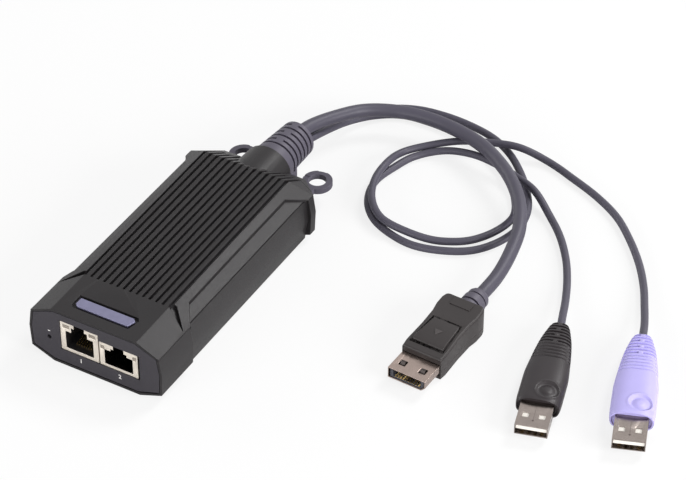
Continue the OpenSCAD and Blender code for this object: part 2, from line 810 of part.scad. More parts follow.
module video_processor() color(chip_colour) on_board(processor_size, processor_place);

module thermal_pad() color("#9aa0a8")
    on_board(pad_size, processor_place, board_top + processor_size.z);

module heat_sink() color("#a9adb2") translate([processor_place.x, processor_place.y,
        board_top + processor_size.z + pad_size.z]) {
    translate([0, 0, sink_base/2]) cube([sink_size.x, sink_size.y, sink_base], center = true);
    for (i = [0:sink_fins - 1])
        translate([(i/(sink_fins - 1) - 1/2)*(sink_size.x - sink_fin_width), 0, sink_size.z/2])
            cube([sink_fin_width, sink_size.y, sink_size.z], center = true);
}

module memory_chips() color(chip_colour) for (i = [0, 1])
    on_board(memory_size, memory_place + [0, i*memory_pitch]);

module network_magnetics() color(chip_colour) on_board(magnetics_size, magnetics_place);
module network_chip() color(chip_colour) on_board(network_chip_size, network_chip_place);
module usb_chip() color(chip_colour) on_board(usb_chip_size, usb_chip_place);
module power_inductor() color("#55565c") on_board(inductor_size, inductor_place);
module crystal() color(metal_colour) on_board(crystal_size, crystal_place);

module capacitors() color("#8f98a6") for (i = [0:capacitor_count - 1])
    translate([capacitor_place.x + (i - (capacitor_count - 1)/2)*capacitor_pitch,
        capacitor_place.y, board_top]) cylinder(r = capacitor_r, h = capacitor_h);

module dp_header() color(cream_colour) on_board(dp_header_size, [0, dp_header_y]);

module usb_headers() color(cream_colour) for (s = [-1, 1])
    on_board(usb_header_size, [s*usb_header_x, dp_header_y]);

// Share of an inner stretch that runs straight at each of its ends
lead_bend_share = 0.25;

// The stretches of the leads inside the strain relief and the case
module dp_inner_lead() {
    back = dp_header_y + dp_header_size.y/2;
    end_z = board_top + dp_header_size.z - video_lead/4;
    lead([[video_start.x, back, end_z], [video_start.x, back + lead_bend_share*(flange_y - back),
            end_z],
        [video_start.x, flange_y - lead_bend_share*(flange_y - back), video_start.z],
        [video_start.x, flange_y, video_start.z], video_start], video_lead, video_sides,
        grey_colour);
}

module usb_inner_leads() for (s = [-1, 1]) {
    back = dp_header_y + usb_header_size.y/2;
    end_z = board_top + usb_header_size.z - thin_lead/2;
    x = s*thin_start.x;
    bend = lead_bend_share*(flange_y - back);
    lead([[s*usb_header_x, back, end_z], [s*usb_header_x, back + bend, end_z],
        [x, flange_y - bend, thin_start.z], [x, flange_y, thin_start.z],
        [x, boot_end_y, thin_start.z]], thin_lead, thin_sides, grey_colour);
}

// Width, height and centre of the strain relief at a place behind the hood
function boot_share(y) = (y - hood_y)/boot_length;
function boot_ring(y, trim) = let (t = max(boot_share(y), 0))
    oval(boot_width + (boot_end_width - boot_width)*t - 2*trim,
        boot_height + (boot_end_height - boot_height)*t - 2*trim, y, boot_z - boot_droop*t,
        boot_sides);

// One row of slots: one slot over the top, or one at each side that reaches further down
module slot_row(i) {
    y = hood_y + slot_lead + i*slot_pitch;
    difference() {
        intersection() {
            block([-boot_width, y, 0], [boot_width, y + slot_width, rear_height]);
            if (i % 2 == 0) block([-boot_width, y, boot_z - boot_height/2*long_slot_share],
                [boot_width, y + slot_width, rear_height]);
            else for (s = [-1, 1]) scale([s, 1, 1])
                block([slot_bridge, y, boot_z - boot_height/2*split_slot_share],
                    [boot_width, y + slot_width, rear_height]);
        }
        loft([boot_ring(y - over, slot_depth), boot_ring(y + slot_width + over, slot_depth)]);
    }
}

module strain_relief() color(grey_colour) difference() {
    union() {
        block([-boot_width/2 - flange_extra, flange_y, board_top + flange_lift],
            [boot_width/2 + flange_extra, flange_y + flange_length,
                min(boot_z + boot_height/2, roof_z - flange_trim)]);
        loft([oval(boot_width, boot_height, flange_y + flange_length - slice, boot_z,
            boot_sides), boot_ring(hood_y, 0), boot_ring(boot_end_y, 0)]);
        block([-loop_x, rear_y + web_gap, loop_z], [loop_x, rear_y + web_length, loop_top_z]);
        block([-boot_width*pedestal_share/2, rear_y + web_gap, loop_z],
            [boot_width*pedestal_share/2, rear_y + pedestal_length, boot_z - boot_height/8]);
        for (s = [-1, 1]) {
            translate([s*loop_x, loop_y, loop_z])
                cylinder(r = loop_width/2, h = loop_thickness);
            translate([s*(loop_x - stem_shift), 0, 0])
                block([-stem_width/2, rear_y + web_gap, loop_z],
                    [stem_width/2, loop_y, loop_top_z]);
        }
    }
    for (s = [-1, 1]) translate([s*loop_x, loop_y, loop_z - over])
        cylinder(r = loop_hole/2, h = loop_thickness + 2*over);
    for (i = [0:slot_rows - 1]) slot_row(i);
    bar_y(video_lead/2 + running_gap, flange_y - over, boot_end_y + over, video_start.x,
        video_start.z);
    for (s = [-1, 1]) bar_y(thin_lead/2 + running_gap, flange_y - over, boot_end_y + over,
        s*thin_start.x, thin_start.z);
}

// Direction in which a lead runs into a plug
function into(turn) = [sin(turn), -cos(turn), 0];

module dp_cable() lead(video_route, video_lead, video_sides, grey_colour, into(dp_turn));
module usb_black_cable() lead(black_route, thin_lead, thin_sides, grey_colour, into(black_turn));
module usb_purple_cable() lead(purple_route, thin_lead, thin_sides, grey_colour,
    into(purple_turn));

module at_plug(end, turn) translate([end.x, end.y, 0]) rotate([0, 0, turn]) children();
module at_dp() at_plug(video_end, dp_turn) children();

module dp_boot() color(grey_colour) at_dp() translate([0, 0, video_end.z]) rotate([90, 0, 0])
    rotate_extrude() polygon([[video_lead/2 + running_gap, 0], [dp_boot_neck_r, 0],
        [dp_boot_r, dp_boot_length*0.12], [dp_boot_r, dp_boot_length*0.3],
        [dp_boot_neck_r, dp_boot_length*0.3], [dp_boot_neck_r, dp_boot_length*0.38],
        [dp_boot_ring_r, dp_boot_length*0.38], [dp_boot_ring_r, dp_boot_length*0.7],
        [dp_boot_neck_r, dp_boot_length*0.7], [dp_boot_neck_r, dp_boot_length*0.78],
        [dp_boot_ring_r, dp_boot_length*0.78], [dp_boot_ring_r, dp_boot_length],
        [video_lead/2 + running_gap, dp_boot_length]]);

module dp_plug_lead() color(grey_colour) at_dp()
    bar_y(video_lead/2, dp_rear - 2*dp_cavity_rear + dp_wall, 0, 0, video_end.z);

// Height of the top of the video plug at a place along it
function dp_top(y) = dp_front_height + (dp_height - dp_front_height)*(y - dp_front)/dp_length;

module dp_housing_body() intersection() {
    translate([0, 0, -over]) linear_extrude(2*dp_height) polygon(concat(
        [for (p = dp_plan_shares) [p[1]*dp_width/2, dp_rear - p[0]*dp_length]],
        [for (i = [len(dp_plan_shares) - 1:-1:0]) let (p = dp_plan_shares[i])
            [-p[1]*dp_width/2, dp_rear - p[0]*dp_length]]));
    along_x(-dp_width, dp_width) polygon([[dp_rear, dp_wall], [dp_rear, dp_height - dp_wall/2],
        [dp_rear - dp_wall/2, dp_height], [dp_front, dp_front_height], [dp_front, 0],
        [dp_rear - dp_wall, 0]]);
}

module dp_button_plan(grow) polygon(both([
    [dp_button_half_rear + grow, dp_button_rear + (grow > 0 ? dp_hinge_gap : 0)],
    [dp_button_half + grow, dp_button_front - 2*grow]]));

module dp_inside() {
    block([-dp_cavity_half, dp_front + dp_cavity_front, dp_wall],
        [dp_cavity_half, dp_rear - dp_cavity_rear, dp_cavity_z]);
    block([-dp_shell_width/2 - running_gap, dp_front - over, dp_shell_z - running_gap],
        [dp_shell_width/2 + running_gap, dp_shell_rear, dp_shell_z + dp_shell_height + running_gap]);
    bar_y(video_lead/2 + running_gap, dp_rear - 2*dp_cavity_rear, dp_rear + over, 0, video_end.z);
    translate([0, 0, dp_cavity_z - over]) linear_extrude(dp_height) dp_button_plan(dp_button_gap);
}

module dp_upper_housing() color(black_colour) at_dp() difference() {
    dp_housing_body();
    dp_inside();
    block([-dp_width, dp_front - over, -over], [dp_width, dp_rear + over, dp_split_z]);
}

module dp_lower_housing() color(black_colour) at_dp() {
    intersection() {
        difference() {
            dp_housing_body();
            dp_inside();
        }
        block([-dp_width, dp_front - over, -over], [dp_width, dp_rear + over, dp_split_z]);
    }
    block([-ledge_half, hook_pivot_y - ledge_length/2, dp_wall],
        [ledge_half, hook_pivot_y + ledge_length/2, hook_plate_z - dp_hinge_gap]);
}

// The hooks turn at their rear end, under the hinge of the button
hook_pivot_y = dp_button_rear;
nub_y = dp_button_front + nub_back;
shell_top_z = dp_shell_z + dp_shell_height;
hook_tip_y = dp_front - hook_tip_back;

module dp_latch_button() color(black_colour) at_dp() {
    intersection() {
        linear_extrude(2*dp_height) dp_button_plan(0);
        along_x(-dp_width, dp_width) polygon([
            [dp_button_rear, dp_top(dp_button_rear) - dp_button_thick],
            [dp_button_rear, dp_top(dp_button_rear)],
            [dp_button_front + dp_button_proud, dp_top(dp_button_front) + dp_button_proud],
            [dp_button_front, dp_top(dp_button_front) + dp_button_proud/2],
            [dp_button_front, dp_top(dp_button_front) - dp_button_thick/2]]);
    }
    block([-nub_half, nub_y, hook_plate_z + hook_thick + nub_clear],
        [nub_half, nub_y + nub_length, dp_top(nub_y) - dp_button_thick/4]);
}

module dp_latch_hooks() color(metal_colour) at_dp() {
    block([-hook_x - hook_width/2, nub_y - nub_length/2, hook_plate_z],
        [hook_x + hook_width/2, hook_pivot_y, hook_plate_z + hook_thick]);
    for (s = [-1, 1]) {
        block([s*hook_x - hook_width/2, hook_tip_y - hook_tip_length, hook_plate_z],
            [s*hook_x + hook_width/2, nub_y, hook_plate_z + hook_thick]);
        along_x(s*hook_x - hook_width/2, s*hook_x + hook_width/2) polygon([
            [hook_tip_y - hook_tip_length, hook_plate_z], [hook_tip_y, hook_plate_z],
            [hook_tip_y, shell_top_z + hook_proud],
            [hook_tip_y - hook_tip_length/2, shell_top_z + hook_proud],
            [hook_tip_y - hook_tip_length, hook_plate_z + hook_thick]]);
    }
}

module dp_shell() color(metal_colour) at_dp() difference() {
    along_y(dp_shell_front, dp_shell_rear) dp_shell_outline(0);
    along_y(dp_shell_front - over, dp_shell_rear + over) dp_shell_outline(dp_shell_wall);
    block([-hook_x - hook_width, nub_y - nub_length, shell_top_z - over],
        [hook_x + hook_width, dp_shell_rear + over, shell_top_z + over]);
    for (s = [-1, 1]) block([s*hook_x - hook_width/2 - hook_slot_gap,
            hook_tip_y - hook_tip_length - hook_slot_gap, shell_top_z - over],
        [s*hook_x + hook_width/2 + hook_slot_gap, hook_tip_y + hook_slot_gap, shell_top_z + over]);
}

// The shell's outline, with its one sloping lower corner
module dp_shell_outline(inset) {
    w = dp_shell_width/2 - inset;
    low = dp_shell_z + inset;
    key = dp_shell_height/3;
    polygon([[-w, low], [w - key, low], [w, low + key], [w, shell_top_z - inset],
        [-w, shell_top_z - inset]]);
}

liner_z = dp_shell_z + dp_shell_wall;
liner_floor_z = liner_z + liner_floor;

// The insert in the shell: a floor plate with a wall at each side, and a block behind
module dp_liner() color(insert_colour) at_dp() intersection() {
    difference() {
        block([-liner_half, dp_shell_front + liner_setback, liner_z],
            [liner_half, dp_shell_rear, shell_top_z - dp_shell_wall - liner_side_gap]);
        block([-liner_half + liner_side, dp_shell_front - over, liner_floor_z],
            [liner_half - liner_side, dp_shell_front + liner_block, dp_height]);
        block([-liner_half + liner_side, dp_shell_front - over, liner_z + liner_block_height],
            [liner_half - liner_side, dp_front - dp_shell_reach + liner_block + over, dp_height]);
        block([-liner_half - over, dp_shell_front + liner_block, liner_z + liner_block_height],
            [liner_half + over, dp_shell_rear + over, dp_height]);
    }
    along_y(dp_shell_front, dp_shell_rear) dp_shell_outline(dp_shell_wall + running_gap);
}

module dp_contacts() color(gold_colour) at_dp() for (k = [0:pin_count - 1]) {
    x = (k - (pin_count - 1)/2)*pin_pitch;
    block([x - pin_width/2, dp_shell_front + liner_setback, liner_floor_z],
        [x + pin_width/2, dp_shell_front + liner_block, liner_floor_z + pin_thick]);
}

module dp_paddle_board() color(board_colour) at_dp()
    block([-paddle_size.x/2, dp_shell_rear, liner_z],
        [paddle_size.x/2, dp_shell_rear + paddle_size.y, liner_z + paddle_size.z]);

// Rings of a grip, with its ribs near the lead
rib_step_share = (rib_end_share - rib_start_share)/rib_count;
function grip_ring(s, k) = oval(grip_width*lookup(s, grip_width_shares)*k,
    grip_height*lookup(s, grip_height_shares)*k, -s*grip_length, grip_z, grip_sides,
    grip_square_share);
function grip_rings() = concat(
    [grip_ring(1, 1), grip_ring(0.96, 1), grip_ring(0.75, 1), grip_ring(0.6, 1)],
    [for (i = [rib_count:-1:1]) let (s = rib_start_share + i*rib_step_share)
        each [grip_ring(s, 1), grip_ring(s - rib_step_share*0.45, rib_low_share)]],
    [grip_ring(rib_start_share, 1), grip_ring(0.03, 1), grip_ring(0, 1)]);

module usb_grip(end, turn, colour) color(colour) at_plug(end, turn) difference() {
    loft(grip_rings());
    block([-usb_width/2 - running_gap, grip_front - over, usb_z - running_gap],
        [usb_width/2 + running_gap, grip_front + usb_inside, usb_z + usb_height + running_gap]);
    translate([dimple_x, grip_front*dimple_share, grip_height + dimple_r - dimple_depth])
        sphere(r = dimple_r);
}

module usb_shell(end, turn) color(metal_colour) at_plug(end, turn) difference() {
    block([-usb_width/2, usb_front, usb_z],
        [usb_width/2, grip_front + usb_inside, usb_z + usb_height]);
    block([-usb_width/2 + usb_sheet, usb_front - over, usb_z + usb_sheet],
        [usb_width/2 - usb_sheet, grip_front + usb_inside + over,
            usb_z + usb_height - usb_sheet]);
    for (s = [-1, 1]) block([s*usb_window_x - usb_window/2, usb_front + usb_window_back,
            usb_z - over],
        [s*usb_window_x + usb_window/2, usb_front + usb_window_back + usb_window,
            usb_z + usb_height + over]);
}

// Height of the underside of the tongue, which lies under the top of its shell
tongue_z = usb_z + usb_height - usb_sheet - tongue_height;

module usb_tongue(end, turn) color(tongue_colour) at_plug(end, turn)
    block([-usb_width/2 + usb_sheet + tongue_gap, usb_front + tongue_setback, tongue_z],
        [usb_width/2 - usb_sheet - tongue_gap, grip_front + usb_inside,
            tongue_z + tongue_height]);

module usb_contacts(end, turn) color(gold_colour) at_plug(end, turn)
    for (k = [0:usb_pins - 1]) {
        x = (k - (usb_pins - 1)/2)*usb_pin_pitch;
        block([x - usb_pin_width/2, usb_front + 2*tongue_setback, tongue_z - usb_pin_thick],
            [x + usb_pin_width/2, usb_front + usb_pin_length, tongue_z]);
    }

module jack_1_shield() jack_shield(0);
module jack_1_housing() jack_housing(0);
module jack_1_contacts() jack_contacts(0);
module jack_1_light_pipes() jack_light_pipes(0);
module jack_2_shield() jack_shield(1);
module jack_2_housing() jack_housing(1);
module jack_2_contacts() jack_contacts(1);
module jack_2_light_pipes() jack_light_pipes(1);
module usb_black_grip() usb_grip(black_end, black_turn, black_colour);
module usb_black_shell() usb_shell(black_end, black_turn);
module usb_black_tongue() usb_tongue(black_end, black_turn);
module usb_black_contacts() usb_contacts(black_end, black_turn);
module usb_purple_grip() usb_grip(purple_end, purple_turn, purple_colour);
module usb_purple_shell() usb_shell(purple_end, purple_turn);
module usb_purple_tongue() usb_tongue(purple_end, purple_turn);
module usb_purple_contacts() usb_contacts(purple_end, purple_turn);

top_cover();
bottom_cover();
front_panel();
name_plate();
main_board();
board_screws();
cover_screws();
jack_1_shield();
jack_1_housing();
jack_1_contacts();
jack_1_light_pipes();
jack_2_shield();
jack_2_housing();
jack_2_contacts();
jack_2_light_pipes();
reset_switch();
reset_plunger();
video_processor();
thermal_pad();
heat_sink();
memory_chips();
network_magnetics();
network_chip();
usb_chip();
power_inductor();
capacitors();
crystal();
dp_header();
usb_headers();
dp_inner_lead();
usb_inner_leads();
strain_relief();
dp_cable();
usb_black_cable();
usb_purple_cable();
dp_boot();
dp_plug_lead();
dp_upper_housing();
dp_lower_housing();
dp_latch_button();
dp_latch_hooks();
dp_shell();
dp_liner();
dp_contacts();
dp_paddle_board();
usb_black_grip();
usb_black_shell();
usb_black_tongue();
usb_black_contacts();
usb_purple_grip();
usb_purple_shell();
usb_purple_tongue();
usb_purple_contacts();
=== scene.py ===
import math

import bmesh
import bpy
from mathutils import Matrix, Vector
from mathutils.bvhtree import BVHTree


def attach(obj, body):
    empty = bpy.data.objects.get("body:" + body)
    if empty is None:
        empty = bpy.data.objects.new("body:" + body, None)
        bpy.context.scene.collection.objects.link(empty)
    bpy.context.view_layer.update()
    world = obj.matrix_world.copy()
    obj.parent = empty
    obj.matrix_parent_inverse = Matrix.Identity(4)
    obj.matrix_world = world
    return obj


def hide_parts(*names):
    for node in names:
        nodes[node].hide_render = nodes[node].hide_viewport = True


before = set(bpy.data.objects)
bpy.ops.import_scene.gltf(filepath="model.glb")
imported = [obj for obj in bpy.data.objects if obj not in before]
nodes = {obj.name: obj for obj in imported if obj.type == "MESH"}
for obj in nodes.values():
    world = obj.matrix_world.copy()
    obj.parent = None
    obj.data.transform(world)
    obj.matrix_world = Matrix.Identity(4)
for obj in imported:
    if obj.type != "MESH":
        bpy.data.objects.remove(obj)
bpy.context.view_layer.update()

MM = 0.001
BODY = "adapter"
WHITE = (1, 1, 1, 1)


def add_object(name, data):
    obj = bpy.data.objects.new(name, data)
    bpy.context.scene.collection.objects.link(obj)
    return obj


# Materials

NOISE_LOW, NOISE_HIGH = 0.3, 0.7
NOISE_ROUGH = 0.55


def new_material(name):
    mat = bpy.data.materials.new(name)
    mat.use_nodes = True
    tree = mat.node_tree
    return mat, tree, tree.nodes["Principled BSDF"]


def coords(tree, scale=(1, 1, 1)):
    place = tree.nodes.new("ShaderNodeTexCoord")
    mapping = tree.nodes.new("ShaderNodeMapping")
    mapping.inputs["Scale"].default_value = scale
    tree.links.new(place.outputs["Object"], mapping.inputs["Vector"])
    return mapping.outputs["Vector"]


def noise(tree, vector, size_mm, detail):
    tex = tree.nodes.new("ShaderNodeTexNoise")
    tex.inputs["Scale"].default_value = 1 / (size_mm * MM)
    tex.inputs["Detail"].default_value = detail
    tex.inputs["Roughness"].default_value = NOISE_ROUGH
    tree.links.new(vector, tex.inputs["Vector"])
    return tex.outputs["Fac"]


def spread(tree, value, low, high):
    """The noise's own range stretched to run from low to high."""
    node = tree.nodes.new("ShaderNodeMapRange")
    node.inputs["From Min"].default_value = NOISE_LOW
    node.inputs["From Max"].default_value = NOISE_HIGH
    node.inputs["To Min"].default_value = low
    node.inputs["To Max"].default_value = high
    tree.links.new(value, node.inputs["Value"])
    return node.outputs["Result"]


def tint(tree, value, colour, amount):
    """A colour that the noise makes a little darker and paler."""
    ramp = tree.nodes.new("ShaderNodeValToRGB")
    dark, pale = ramp.color_ramp.elements
    dark.position = NOISE_LOW
    pale.position = NOISE_HIGH
    dark.color = [c * (1 - amount) for c in colour] + [1]
    pale.color = [min(1, c * (1 + amount)) for c in colour] + [1]
    tree.links.new(value, ramp.inputs["Fac"])
    return ramp.outputs["Color"]


def bump(tree, shader, height, strength, distance_mm):
    node = tree.nodes.new("ShaderNodeBump")
    node.inputs["Strength"].default_value = strength
    node.inputs["Distance"].default_value = distance_mm * MM
    tree.links.new(height, node.inputs["Height"])
    tree.links.new(node.outputs["Normal"], shader.inputs["Normal"])


def plastic(name, colour, rough, grain_mm, relief, mottle, specular=0.5):
    """A moulded surface: fine spark-eroded grain, slight unevenness of tone and gloss."""
    mat, tree, shader = new_material(name)
    vector = coords(tree)
    fine = noise(tree, vector, grain_mm, 2)
    broad = noise(tree, vector, 9.0, 3)
    tree.links.new(tint(tree, broad, colour, mottle), shader.inputs["Base Color"])
    tree.links.new(spread(tree, fine, rough - 0.06, rough + 0.08), shader.inputs["Roughness"])
    bump(tree, shader, fine, relief, grain_mm * 0.12)
    shader.inputs["Specular IOR Level"].default_value = specular
    return mat


def metal(name, colour, rough, stretch, metallic=1.0):
    """Plated sheet: fine drawing lines along the strip and soft patches of gloss."""
    mat, tree, shader = new_material(name)
    lines = noise(tree, coords(tree, stretch), 0.35, 3)
    patches = noise(tree, coords(tree), 2.5, 2)
    tree.links.new(tint(tree, patches, colour, 0.06), shader.inputs["Base Color"])
    tree.links.new(spread(tree, lines, rough - 0.07, rough + 0.1), shader.inputs["Roughness"])
    bump(tree, shader, lines, 0.12, 0.02)
    shader.inputs["Metallic"].default_value = metallic
    return mat


def clear(name, colour, rough):
    """A slightly cloudy light pipe."""
    mat, tree, shader = new_material(name)
    haze = noise(tree, coords(tree), 0.8, 2)
    tree.links.new(tint(tree, haze, colour, 0.1), shader.inputs["Base Color"])
    tree.links.new(spread(tree, haze, rough, rough + 0.15), shader.inputs["Roughness"])
    shader.inputs["Transmission Weight"].default_value = 0.35
    shader.inputs["IOR"].default_value = 1.49
    return mat


CASE = plastic("case_grain", (0.017, 0.0152, 0.0163), 0.43, 0.42, 0.5, 0.07, 0.25)
PANEL = plastic("panel_grain", (0.047, 0.0435, 0.051), 0.5, 0.42, 0.35, 0.05, 0.15)
RELIEF = plastic("relief_rubber", (0.085, 0.077, 0.103), 0.5, 0.3, 0.2, 0.05, 0.4)
LEAD = plastic("lead_jacket", (0.070, 0.065, 0.088), 0.45, 0.25, 0.12, 0.05, 0.3)
PLUG = plastic("plug_plastic", (0.03, 0.0255, 0.0255), 0.42, 0.3, 0.3, 0.06, 0.32)
PLUG_MARK = plastic("plug_mark", (0.055, 0.048, 0.048), 0.5, 0.3, 0.3, 0.06, 0.3)
BLACK_GRIP = plastic("black_grip", (0.024, 0.0195, 0.0215), 0.4, 0.3, 0.2, 0.06, 0.32)
PURPLE_GRIP = plastic("purple_grip", (0.475, 0.43, 0.81), 0.42, 0.3, 0.12, 0.03, 0.45)
BLACK_PLASTIC = plastic("black_insert", (0.012, 0.011, 0.012), 0.45, 0.3, 0.15, 0.1)
DARK_INSERT = plastic("grey_insert", (0.05, 0.05, 0.062), 0.5, 0.3, 0.15, 0.1)
PALE_PLASTIC = plastic("pale_plastic", (0.78, 0.73, 0.66), 0.45, 0.3, 0.1, 0.04)
WHITE_TONGUE = plastic("white_tongue", (0.86, 0.82, 0.76), 0.4, 0.3, 0.08, 0.04)
BOARD = plastic("board_mask", (0.02, 0.11, 0.05), 0.35, 1.2, 0.1, 0.2)
PAD = plastic("thermal_pad", (0.32, 0.34, 0.38), 0.7, 0.3, 0.3, 0.1)
CORE = plastic("ferrite_core", (0.08, 0.08, 0.09), 0.55, 0.3, 0.25, 0.1)
INK = plastic("pale_ink", (0.82, 0.80, 0.78), 0.5, 0.2, 0.05, 0.02)
CREAM_METAL = metal("jack_plating", (0.86, 0.79, 0.70), 0.42, (1, 1, 8))
SHELL_METAL = metal("nickel_shell", (0.29, 0.25, 0.23), 0.24, (1, 9, 1))
VIDEO_METAL = metal("video_shell", (0.35, 0.28, 0.25), 0.28, (1, 9, 1))
HOOK_METAL = metal("spring_steel", (0.06, 0.052, 0.05), 0.5, (1, 9, 1))
SCREW_METAL = metal("screw_zinc", (0.5, 0.5, 0.5), 0.3, (4, 4, 1))
SINK_METAL = metal("sink_aluminium", (0.62, 0.63, 0.65), 0.4, (1, 7, 1))
GOLD = metal("gold_contacts", (0.83, 0.6, 0.25), 0.25, (1, 6, 1))
# Dark metal for the shell seam and crimp marks: painted shade standing in for the shade in the seam's
# gap and in the crimp holes
SEAM_SHADE = metal("shell_seam", (0.10, 0.08, 0.075), 0.5, (1, 9, 1))
PLATE = metal("name_plate_satin", (0.20, 0.195, 0.30), 0.4, (9, 1, 1), 0.55)
PIPE = clear("light_pipe", (0.42, 0.36, 0.30), 0.2)

LOOKS = {
    "top_cover": CASE, "bottom_cover": CASE, "front_panel": PANEL, "name_plate": PLATE,
    "main_board": BOARD, "board_screws": SCREW_METAL, "cover_screws": SCREW_METAL,
    "jack_1_shield": CREAM_METAL, "jack_2_shield": CREAM_METAL,
    "jack_1_housing": BLACK_PLASTIC, "jack_2_housing": BLACK_PLASTIC,
    "jack_1_contacts": GOLD, "jack_2_contacts": GOLD,
    "jack_1_light_pipes": PIPE, "jack_2_light_pipes": PIPE,
    "reset_switch": BLACK_PLASTIC, "reset_plunger": PALE_PLASTIC,
    "video_processor": CORE, "thermal_pad": PAD, "heat_sink": SINK_METAL,
    "memory_chips": CORE, "network_magnetics": BLACK_PLASTIC, "network_chip": CORE,
    "usb_chip": CORE, "power_inductor": CORE, "capacitors": SINK_METAL, "crystal": SCREW_METAL,
    "dp_header": PALE_PLASTIC, "usb_headers": PALE_PLASTIC, "dp_inner_lead": LEAD,
    "usb_inner_leads": LEAD, "strain_relief": RELIEF, "dp_boot": RELIEF, "dp_plug_lead": LEAD,
    "dp_cable": LEAD, "usb_black_cable": LEAD, "usb_purple_cable": LEAD,
    "dp_upper_housing": PLUG, "dp_lower_housing": PLUG, "dp_latch_button": PLUG,
    "dp_latch_hooks": HOOK_METAL, "dp_shell": VIDEO_METAL, "dp_liner": DARK_INSERT,
    "dp_contacts": GOLD, "dp_paddle_board": BOARD,
    "usb_black_grip": BLACK_GRIP, "usb_purple_grip": PURPLE_GRIP,
    "usb_black_shell": SHELL_METAL, "usb_purple_shell": SHELL_METAL,
    "usb_black_tongue": WHITE_TONGUE, "usb_purple_tongue": WHITE_TONGUE,
    "usb_black_contacts": GOLD, "usb_purple_contacts": GOLD,
}
for node_name, cad_node in nodes.items():
    cad_node.data.materials.clear()
    cad_node.data.materials.append(LOOKS[node_name])


# Camera, floor and light

CAMERA_PLACE = (0.45099, -0.66305, 0.68367)
CAMERA_DOWN, CAMERA_TURN = 39.59, 29.96
CAMERA_LENS, CAMERA_SENSOR = 146.8, 36
WORLD_LIGHT = 0.21
FLOOR_HALF, FLOOR_DROP = 4.0, 0.0002
FLOOR_TONE, FLOOR_GLOW = 0.9, 0.8
MIDDLE = (0.07, 0.03, 0)
CASE_MIDDLE = (0, 0, 0)
# Each lamp: name, place, aim, width and height, watts
LAMPS = [("right", (1.45, -0.05, 0.55), MIDDLE, (0.9, 0.6), 22),
         ("rear", (0.45, 1.0, 1.15), CASE_MIDDLE, (0.5, 0.5), 12),
         ("front", (-0.2, -1.4, 0.45), MIDDLE, (1.4, 0.5), 13),
         ("left", (-1.3, 0.1, 0.45), MIDDLE, (0.9, 0.5), 5)]


def make_camera():
    data = bpy.data.cameras.new("camera")
    data.sensor_width = CAMERA_SENSOR
    data.lens = CAMERA_LENS
    data.clip_start = 0.01
    data.clip_end = 20
    camera = add_object("camera", data)
    camera.location = CAMERA_PLACE
    camera.rotation_euler = (math.radians(90 - CAMERA_DOWN), 0, math.radians(CAMERA_TURN))
    bpy.context.scene.camera = camera


def make_world():
    """White where it is seen straight, in gloss or through something clear, and dimmer as a light."""
    world = bpy.data.worlds.new("studio")
    bpy.context.scene.world = world
    world.use_nodes = True
    tree = world.node_tree
    tree.nodes.clear()
    out = tree.nodes.new("ShaderNodeOutputWorld")
    seen = tree.nodes.new("ShaderNodeBackground")
    seen.inputs["Color"].default_value = WHITE
    seen.inputs["Strength"].default_value = 1.0
    light = tree.nodes.new("ShaderNodeBackground")
    light.inputs["Color"].default_value = WHITE
    light.inputs["Strength"].default_value = WORLD_LIGHT
    mix = tree.nodes.new("ShaderNodeMixShader")
    path = tree.nodes.new("ShaderNodeLightPath")
    shown = path.outputs["Is Camera Ray"]
    for ray in ("Is Glossy Ray", "Is Transmission Ray"):
        either = tree.nodes.new("ShaderNodeMath")
        either.operation = "MAXIMUM"
        tree.links.new(shown, either.inputs[0])
        tree.links.new(path.outputs[ray], either.inputs[1])
        shown = either.outputs["Value"]
    tree.links.new(shown, mix.inputs["Fac"])
    tree.links.new(light.outputs["Background"], mix.inputs[1])
    tree.links.new(seen.outputs["Background"], mix.inputs[2])
    tree.links.new(mix.outputs["Shader"], out.inputs["Surface"])


def make_floor():
    """A pale floor that keeps the shadow and is near white to the camera."""
    mesh = bpy.data.meshes.new("floor")
    corners = [(-1, -1), (1, -1), (1, 1), (-1, 1)]
    mesh.from_pydata([(x * FLOOR_HALF, y * FLOOR_HALF, 0) for x, y in corners], [], [(0, 1, 2, 3)])
    floor = add_object("floor", mesh)
    floor.location.z = -FLOOR_DROP
    mat = bpy.data.materials.new("white_floor")
    mat.use_nodes = True
    tree = mat.node_tree
    tree.nodes.clear()
    out = tree.nodes.new("ShaderNodeOutputMaterial")
    diffuse = tree.nodes.new("ShaderNodeBsdfDiffuse")
    diffuse.inputs["Color"].default_value = (FLOOR_TONE, FLOOR_TONE, FLOOR_TONE, 1)
    glow = tree.nodes.new("ShaderNodeEmission")
    glow.inputs["Color"].default_value = WHITE
    mix = tree.nodes.new("ShaderNodeMixShader")
    part = tree.nodes.new("ShaderNodeMath")
    part.operation = "MULTIPLY"
    part.inputs[1].default_value = FLOOR_GLOW
    path = tree.nodes.new("ShaderNodeLightPath")
    tree.links.new(path.outputs["Is Camera Ray"], part.inputs[0])
    tree.links.new(part.outputs["Value"], mix.inputs["Fac"])
    tree.links.new(diffuse.outputs["BSDF"], mix.inputs[1])
    tree.links.new(glow.outputs["Emission"], mix.inputs[2])
    tree.links.new(mix.outputs["Shader"], out.inputs["Surface"])
    mesh.materials.append(mat)


def make_lamp(name, place, aim, size, watts):
    data = bpy.data.lights.new(name, "AREA")
    data.shape = "RECTANGLE"
    data.size, data.size_y = size
    data.energy = watts
    lamp = add_object(name, data)
    lamp.location = place
    lamp.rotation_euler = (Vector(aim) - Vector(place)).to_track_quat("-Z", "Y").to_euler()


bpy.context.scene.view_settings.view_transform = "Standard"
make_camera()
make_world()
make_floor()
for lamp_row in LAMPS:
    make_lamp(*lamp_row)


# Leads: the points of the CAD routes in mm, from the strain relief to each plug, and how the plugs lie

